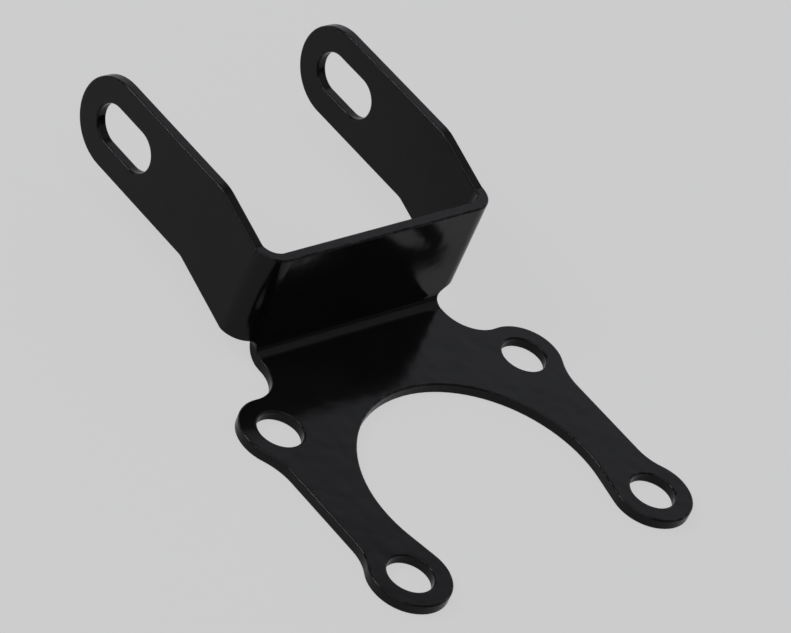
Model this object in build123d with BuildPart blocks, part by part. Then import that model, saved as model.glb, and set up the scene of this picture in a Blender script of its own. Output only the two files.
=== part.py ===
from build123d import *
from build123d.topology import topo_explore_connected_faces
import os
from math import acos, atan2, cos, degrees, hypot, radians, sin, sqrt, tan

# A light mounting bracket, cut from one flat sheet of steel and folded three times.
# A forked base plate with four bolt holes narrows to a neck, turns up into a web,
# and the web's sides turn back into two arms with a slot each.
# The origin is the middle of the four bolt holes, on the plate's underside.
# +X runs along the main bend, -Y points out of the fork, and +Z is up.

# Sheet and bends
sheet = 2.7
main_bend_radius = 2.7      # inside, between the base plate and the web
side_bend_radius = 3.5      # inside, between the web and the arms
edge_break = 0.25           # off the cut edges, under the coat
sharp_turn = 45.0           # degrees between two faces, past which their edge is a cut one

# Base plate, with its bolt holes and the round ears about them
hole_pitch_x = 76.0
hole_pitch_y = 46.6
hole_radius = 5.5
ear_radius = 9.8
rear_row_setback = 22.1     # from the rear holes back to the web's front face
leg_inset = 3.5             # the legs' outer edges, in from the ears' widest points
rear_leg_fillet = 15.5
front_leg_fillet = 11.7

# Cut-out of the fork
cutout_setback = 21.5       # from the cut-out's rear edge back to the web's front face
cutout_ear_gap = 0.7        # between the cut-out's circle and the front ears' rounds

# Neck and web
web_width = 70.5            # over the arms' outer faces
web_shoulder = 7.1          # how far the web reaches past the neck, each side
web_clearance = 3.9         # from the plate's upper face to the web's lower edge
relief_fillet = 3.2
neck_land = 1.1             # straight stretch between a neck relief and the main bend

# Arms
arm_width = 23.0
arm_rise = 18.3             # degrees, up to the kink
arm_kink = 14.4             # from the end of the side bend back to the kink in the upper edge
arm_reach = 35.5            # from that kink back to the centre of the arm's round end
rise_fillet = 3.0
upper_kink_radius = 10.0
lower_kink_radius = 5.0

# Slots, whose rear ends share a centre with the arms' round ends
slot_width = 10.5
slot_travel = 8.6

# Places along Y and Z that follow from the sizes above
rear_row = hole_pitch_y / 2
front_row = -hole_pitch_y / 2
hole_x = hole_pitch_x / 2
web_front = rear_row + rear_row_setback
bend_start = web_front - main_bend_radius
bend_top = sheet + main_bend_radius
side_bend_end = web_front + sheet + side_bend_radius
mid_bend = side_bend_end - side_bend_radius / 2

# Neck relief, an arc that leaves the rear ear and runs out at the neck's edge just ahead of the bend
neck_half = web_width / 2 - web_shoulder
leg_half = hole_x + ear_radius - leg_inset
relief_y = bend_start - neck_land
ear_to_neck = hypot(neck_half - hole_x, relief_y - rear_row)
relief_radius = (ear_to_neck**2 - ear_radius**2) / (2 * (ear_radius + hole_x - neck_half))
relief_turn = 180 + degrees(atan2(rear_row - relief_y, hole_x - neck_half - relief_radius))

# Turns from the ears into the straight outer edge of a leg
rear_turn = degrees(acos((leg_half + rear_leg_fillet - hole_x) / (ear_radius + rear_leg_fillet)))
front_turn = degrees(acos((leg_half + front_leg_fillet - hole_x) / (ear_radius + front_leg_fillet)))
leg_length = (
    hole_pitch_y
    - (ear_radius + rear_leg_fillet) * sin(radians(rear_turn))
    - (ear_radius + front_leg_fillet) * sin(radians(front_turn))
)

# Cut-out circle: on the middle line, through its rear edge, and just clear of the front ears
cutout_rear = web_front - cutout_setback
cutout_span = cutout_rear + ear_radius + cutout_ear_gap
cutout_y = (cutout_span**2 - hole_x**2 - front_row**2) / (2 * (cutout_span - front_row))
cutout_radius = cutout_rear - cutout_y

# The straight line that touches both the cut-out's circle and the front ear
ear_distance = hypot(hole_x, cutout_y - front_row)
touching_line = sqrt(ear_distance**2 - (cutout_radius + ear_radius) ** 2)
lean = degrees(atan2(cutout_y - front_row, hole_x) - acos((cutout_radius + ear_radius) / ear_distance))

# Side view of an arm
rise = radians(arm_rise)
web_bottom = sheet + web_clearance
web_top = web_bottom + arm_width / cos(rise)
kink_y = side_bend_end + arm_kink
arm_top = web_top + arm_kink * tan(rise)
lower_kink_y = kink_y + arm_width * tan(rise / 2)
end_y = kink_y + arm_reach
end_z = arm_top - arm_width / 2


def is_cut_edge(edge):
    # True where a broad face of the sheet meets a cut wall, not where two faces run on smoothly
    middle = edge @ 0.5
    normals = [Face(found).normal_at(middle) for found in topo_explore_connected_faces(edge)]
    return len(normals) == 2 and normals[0].get_angle(normals[1]) > sharp_turn


with BuildPart() as bracket:
    # Web and arms: a channel on its end, as seen from above
    with BuildSketch(Plane.XY.offset(bend_top)):
        with BuildLine():
            outside = FilletPolyline(
                (-web_width / 2, end_y + arm_width),
                (-web_width / 2, web_front),
                (web_width / 2, web_front),
                (web_width / 2, end_y + arm_width),
                radius=side_bend_radius + sheet,
            )
            Line(outside @ 1, outside @ 0)
        make_face()
        with BuildLine():
            inside = FilletPolyline(
                (-web_width / 2 + sheet, end_y + arm_width),
                (-web_width / 2 + sheet, web_front + sheet),
                (web_width / 2 - sheet, web_front + sheet),
                (web_width / 2 - sheet, end_y + arm_width),
                radius=side_bend_radius,
            )
            Line(inside @ 1, inside @ 0)
        make_face(mode=Mode.SUBTRACT)
    extrude(amount=arm_top - bend_top)

    # Outline of the web and an arm, as seen from the side
    with BuildSketch(Plane.YZ):
        with BuildLine():
            upper_edge = FilletPolyline(
                (web_front, web_top),
                (side_bend_end, web_top),
                (kink_y, arm_top),
                (end_y, arm_top),
                radius=[rise_fillet, upper_kink_radius],
            )
            round_end = JernArc(upper_edge @ 1, upper_edge % 1, arm_width / 2, -180)
            lower_edge = FilletPolyline(
                round_end @ 1,
                (lower_kink_y, arm_top - arm_width),
                (side_bend_end, web_bottom),
                (mid_bend, web_bottom),
                radius=[lower_kink_radius, rise_fillet],
            )
            Polyline(lower_edge @ 1, (mid_bend, bend_top), (web_front, bend_top), upper_edge @ 0)
        make_face()
    extrude(amount=web_width, both=True, mode=Mode.INTERSECT)

    # Main bend, a quarter ring under the web
    with BuildSketch(Plane.YZ):
        with BuildLine():
            inner_bend = CenterArc((bend_start, bend_top), main_bend_radius, -90, 90)
            outer_bend = CenterArc((bend_start, bend_top), main_bend_radius + sheet, -90, 90)
            Line(inner_bend @ 0, outer_bend @ 0)
            Line(inner_bend @ 1, outer_bend @ 1)
        make_face()
    extrude(amount=neck_half + relief_fillet, both=True)

    # Reliefs that free the web from the plate on both sides of the neck
    with BuildSketch(Plane.XZ.offset(-bend_start)):
        with BuildLine():
            relief_edge = FilletPolyline(
                (neck_half, -sheet),
                (neck_half, web_bottom),
                (web_width, web_bottom),
                radius=relief_fillet,
            )
            Polyline(relief_edge @ 1, (web_width, -sheet), relief_edge @ 0)
        make_face()
        mirror(about=Plane.YZ)
    extrude(amount=-(side_bend_end - bend_start), mode=Mode.SUBTRACT)

    # Base plate, drawn as its right half and mirrored
    with BuildSketch(Plane.XY):
        with BuildLine():
            bend_line = Line((0, bend_start), (neck_half, bend_start))
            neck_edge = Line(bend_line @ 1, (neck_half, relief_y))
            relief = JernArc(neck_edge @ 1, neck_edge % 1, relief_radius, relief_turn)
            rear_ear = JernArc(relief @ 1, relief % 1, ear_radius, -(relief_turn + rear_turn))
            rear_fillet = JernArc(rear_ear @ 1, rear_ear % 1, rear_leg_fillet, rear_turn)
            leg_edge = Line(rear_fillet @ 1, rear_fillet @ 1 - (0, leg_length))
            front_fillet = JernArc(leg_edge @ 1, leg_edge % 1, front_leg_fillet, front_turn)
            front_ear = JernArc(front_fillet @ 1, front_fillet % 1, ear_radius, -(180 + front_turn + lean))
            ear_to_cutout = Line(front_ear @ 1, front_ear @ 1 + (front_ear % 1) * touching_line)
            JernArc(ear_to_cutout @ 1, ear_to_cutout % 1, cutout_radius, 90 + lean)
            mirror(about=Plane.YZ)
        make_face()
        with GridLocations(hole_pitch_x, hole_pitch_y, 2, 2):
            Circle(hole_radius, mode=Mode.SUBTRACT)
    extrude(amount=sheet)

    # Slots through both arms
    with BuildSketch(Plane.YZ):
        with Locations((end_y - slot_travel / 2, end_z)):
            SlotCenterToCenter(slot_travel, slot_width)
    extrude(amount=web_width, both=True, mode=Mode.SUBTRACT)

    # The sheet's cut edges, all the way round both faces, and those of the holes and slots
    chamfer(bracket.edges().filter_by(is_cut_edge), edge_break)

bracket.part.label = "bracket"
print("solids:", len(bracket.part.solids()))
print("volume:", round(bracket.part.volume), "mm3")
print("size:", bracket.part.bounding_box().size)
os.makedirs("parts", exist_ok=True)
export_step(bracket.part, "parts/bracket.step")
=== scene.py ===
import math

import bpy
from mathutils import Matrix, Vector

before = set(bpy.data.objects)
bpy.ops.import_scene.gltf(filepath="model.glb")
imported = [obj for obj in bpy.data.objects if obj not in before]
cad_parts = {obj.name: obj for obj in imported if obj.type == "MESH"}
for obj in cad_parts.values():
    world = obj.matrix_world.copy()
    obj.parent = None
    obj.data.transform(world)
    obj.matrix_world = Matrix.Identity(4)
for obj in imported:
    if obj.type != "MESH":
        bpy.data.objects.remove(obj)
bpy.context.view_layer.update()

scene = bpy.context.scene
scene.view_settings.view_transform = "Standard"

# The photograph's view, from the plate's left front and well above it, through a long lens.
# Angles are in degrees, places and distances in metres, and the lens and its sensor in millimetres
photoView = {
    "lookAt": (0.01627, 0.0454, 0.00115),
    "azimuth": -55.583,
    "elevation": 36.447,
    "roll": 24.806,
    "distance": 1.02708,
    "nearest": 0.05,
    "furthest": 20,
    "lens": 204.332,
    "sensor": 36,
}


def addCamera(spec):
    azimuth, elevation, roll = (math.radians(spec[k]) for k in ("azimuth", "elevation", "roll"))
    level = math.cos(elevation)
    back = Vector((math.sin(azimuth) * level, -math.cos(azimuth) * level, math.sin(elevation)))
    right = Vector((math.cos(azimuth), math.sin(azimuth), 0))
    up = back.cross(right)
    rolledRight = right * math.cos(roll) + up * math.sin(roll)
    rolledUp = up * math.cos(roll) - right * math.sin(roll)
    data = bpy.data.cameras.new("camera")
    data.lens = spec["lens"]
    data.sensor_width = spec["sensor"]
    data.clip_start = spec["nearest"]
    data.clip_end = spec["furthest"]
    cam = bpy.data.objects.new("camera", data)
    scene.collection.objects.link(cam)
    turn = Matrix((rolledRight, rolledUp, back)).transposed().to_4x4()
    cam.matrix_world = Matrix.Translation(Vector(spec["lookAt"]) + back * spec["distance"]) @ turn
    scene.camera = cam


addCamera(photoView)
print("camera placed")


def newMaterial(name):
    mat = bpy.data.materials.new(name)
    mat.use_nodes = True
    mat.node_tree.nodes.clear()
    return mat


def addNode(tree, kind, feeds, **settings):
    # Each feed is another node's output, which is linked, or a plain value
    n = tree.nodes.new(kind)
    for k, v in settings.items():
        setattr(n, k, v)
    for k, v in feeds.items():
        if isinstance(v, bpy.types.NodeSocket):
            tree.links.new(v, n.inputs[k])
        else:
            n.inputs[k].default_value = v
    return n


def addRange(tree, source, edge, ends=(0.0, 1.0)):
    # Goes smoothly from one end to the other while the source crosses the edge
    feeds = {"Value": source, "From Min": edge[0], "From Max": edge[1], "To Min": ends[0], "To Max": ends[1]}
    return addNode(tree, "ShaderNodeMapRange", feeds, interpolation_type="SMOOTHSTEP").outputs["Result"]


def addSum(tree, parts, total=0.0):
    # Each part is a source and how much of it counts
    for source, amount in parts:
        feeds = {0: source, 1: amount, 2: total}
        total = addNode(tree, "ShaderNodeMath", feeds, operation="MULTIPLY_ADD").outputs[0]
    return total


# A Mix node's sockets for each kind of data: first, second and result
mixSockets = {"FLOAT": (2, 3, 0), "VECTOR": (4, 5, 1), "RGBA": (6, 7, 2)}


def addMix(tree, kind, factor, first, second):
    firstIn, secondIn, result = mixSockets[kind]
    feeds = {0: factor, firstIn: first, secondIn: second}
    return addNode(tree, "ShaderNodeMix", feeds, data_type=kind).outputs[result]


def grey(level):
    return (level, level, level, 1)


# Black gloss coat over the whole bracket, with sizes and heights in metres. It is a little wavy, with a
# few nibs of dust in it, and over the cut edges it is rounded, lumpy and duller in places
coat = {
    "darkest": 0.0035,
    "palest": 0.0045,
    "cloudSize": 0.014,
    "cloudEdge": (0.35, 0.65),
    "ior": 1.3,
    "roughness": 0.13,
    "edgeRoughness": (0.1, 0.45),
    "edgeRound": 0.0004,
    "edgeReach": 0.0006,  # how far in from a cut edge the lumps go
    "edgeMask": (0.95, 0.7),  # share of the rays that stay inside, off an edge and on it
    "edgeSamples": 8,
    "lumpSize": 0.0045,
    "lumpHeight": 0.0018,
    "lumpDetail": 2,
    "lumpEdge": (0.4, 0.6),
    "nibSpacing": 0.006,
    "nibReach": 0.0003,
    "nibHeight": 0.00003,
    "wave": {"size": 0.006, "height": 0.00008},
    "peel": {"size": 0.0009, "height": 0.000002},
}


def makeCoat(spec):
    mat = newMaterial("blackCoat")
    tree = mat.node_tree
    place = addNode(tree, "ShaderNodeTexCoord", {}).outputs["Object"]

    def addNoise(size, detail=1):
        feeds = {"Vector": place, "Scale": 1 / size, "Detail": detail}
        return addNode(tree, "ShaderNodeTexNoise", feeds).outputs["Fac"]

    # Cut edges: where rays that start just under the surface soon come out again
    feeds = {"Distance": spec["edgeReach"]}
    inward = addNode(tree, "ShaderNodeAmbientOcclusion", feeds, inside=True, samples=spec["edgeSamples"])
    onEdge = addRange(tree, inward.outputs["AO"], spec["edgeMask"])
    lumps = addNoise(spec["lumpSize"], spec["lumpDetail"])

    # Height of the coat: nibs, waves and the finer peel, added up
    nibs = addNode(tree, "ShaderNodeTexVoronoi", {"Vector": place, "Scale": 1 / spec["nibSpacing"]})
    nibEdge = (spec["nibReach"] / spec["nibSpacing"], 0)
    layers = [(addRange(tree, nibs.outputs["Distance"], nibEdge), spec["nibHeight"])]
    for ripple in (spec["wave"], spec["peel"]):
        layers.append((addNoise(ripple["size"]), ripple["height"]))
    height = addSum(tree, layers)

    # Normals: rounded, then lumpy on the edges, then with that height
    feeds = {"Radius": spec["edgeRound"]}
    rounded = addNode(tree, "ShaderNodeBevel", feeds, samples=spec["edgeSamples"]).outputs["Normal"]
    feeds = {"Height": lumps, "Distance": spec["lumpHeight"], "Normal": rounded}
    lumpy = addNode(tree, "ShaderNodeBump", feeds).outputs["Normal"]
    uneven = addMix(tree, "VECTOR", onEdge, rounded, lumpy)
    finish = addNode(tree, "ShaderNodeBump", {"Height": height, "Distance": 1, "Normal": uneven})

    # Colour and gloss
    clouds = addRange(tree, addNoise(spec["cloudSize"]), spec["cloudEdge"])
    edgeGloss = addRange(tree, lumps, spec["lumpEdge"], spec["edgeRoughness"])
    shader = addNode(tree, "ShaderNodeBsdfPrincipled", {
        "Base Color": addMix(tree, "RGBA", clouds, grey(spec["darkest"]), grey(spec["palest"])),
        "Roughness": addMix(tree, "FLOAT", onEdge, spec["roughness"], edgeGloss),
        "IOR": spec["ior"],
        "Normal": finish.outputs["Normal"],
    })
    addNode(tree, "ShaderNodeOutputMaterial", {"Surface": shader.outputs["BSDF"]})
    return mat


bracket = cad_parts["bracket"]
bracket.data.materials.clear()
bracket.data.materials.append(makeCoat(coat))
print("coat made")

# Pale studio: the floor, and the tint and level of the dim room around it
studio = {
    "pale": 0.635,
    "floorSize": 3,
    "floorLevel": -0.0001,
    # How much of the floor's colour each kind of ray sees plain, without light and shadow
    "plain": {"Is Camera Ray": 0.88, "Is Transmission Ray": 0.88, "Is Glossy Ray": 0.4},
    "roomTint": (0.97, 0.985, 1.06),
    "roomLevel": 0.095,
}

# Lighter parts of the room. Each glows fully in the directions whose dot product with its way is past the
# second edge, and not at all in those that fall short of the first
panels = {
    "backWall": {"way": (0.5, 0.5, -0.7), "edge": (-0.06, 0.17), "level": 0.52},
    "greyPanel": {"way": (0.66, -0.3, 0.682), "edge": (0.8, 0.96), "level": 0.28},
    "overhead": {"way": (-0.52, -0.2, 0.83), "edge": (0.85, 0.95), "level": 1.2},
}

# Two soft lamps, with places and sizes in metres and power in watts
lamps = {
    "softbox": {"at": (-0.584, 0.495, 0.661), "size": 0.36, "power": 3},
    "ceiling": {"at": (-0.1, -0.05, 1.2), "size": 1.2, "power": 1},
}


def makeFloor(spec):
    mat = newMaterial("paleFloor")
    tree = mat.node_tree
    path = addNode(tree, "ShaderNodeLightPath", {})
    share = addSum(tree, [(path.outputs[ray], amount) for ray, amount in spec["plain"].items()])
    lit = addNode(tree, "ShaderNodeBsdfDiffuse", {"Color": grey(spec["pale"])})
    plain = addNode(tree, "ShaderNodeEmission", {"Color": grey(spec["pale"]), "Strength": 1})
    feeds = {"Fac": share, 1: lit.outputs["BSDF"], 2: plain.outputs["Emission"]}
    both = addNode(tree, "ShaderNodeMixShader", feeds)
    addNode(tree, "ShaderNodeOutputMaterial", {"Surface": both.outputs["Shader"]})
    half = spec["floorSize"] / 2
    corners = [(-half, -half, 0), (half, -half, 0), (half, half, 0), (-half, half, 0)]
    mesh = bpy.data.meshes.new("floor")
    mesh.from_pydata(corners, [], [(0, 1, 2, 3)])
    mesh.materials.append(mat)
    floor = bpy.data.objects.new("floor", mesh)
    floor.location.z = spec["floorLevel"]
    scene.collection.objects.link(floor)


def makeRoom(spec):
    world = bpy.data.worlds.new("studioRoom")
    world.use_nodes = True
    tree = world.node_tree
    tree.nodes.clear()
    way = addNode(tree, "ShaderNodeTexCoord", {}).outputs["Generated"]
    glows = []
    for panel in panels.values():
        facing = addNode(tree, "ShaderNodeVectorMath", {0: way, 1: panel["way"]}, operation="DOT_PRODUCT")
        glows.append((addRange(tree, facing.outputs["Value"], panel["edge"]), panel["level"]))
    light = addSum(tree, glows, spec["roomLevel"])
    tinted = addNode(tree, "ShaderNodeVectorMath", {0: spec["roomTint"], "Scale": light}, operation="SCALE")
    path = addNode(tree, "ShaderNodeLightPath", {})
    seen = addMix(tree, "RGBA", path.outputs["Is Camera Ray"], tinted.outputs["Vector"], grey(spec["pale"]))
    sky = addNode(tree, "ShaderNodeBackground", {"Color": seen, "Strength": 1})
    addNode(tree, "ShaderNodeOutputWorld", {"Surface": sky.outputs["Background"]})
    scene.world = world


def addLamp(name, spec, aim):
    data = bpy.data.lights.new(name, "AREA")
    data.shape = "SQUARE"
    data.size = spec["size"]
    data.energy = spec["power"]
    lamp = bpy.data.objects.new(name, data)
    lamp.location = spec["at"]
    lamp.rotation_mode = "QUATERNION"
    lamp.rotation_quaternion = (Vector(aim) - Vector(spec["at"])).to_track_quat("-Z", "Y")
    scene.collection.objects.link(lamp)


makeFloor(studio)
makeRoom(studio)
for lampName, lampSpec in lamps.items():
    addLamp(lampName, lampSpec, photoView["lookAt"])
print("floor, room and lamps made")
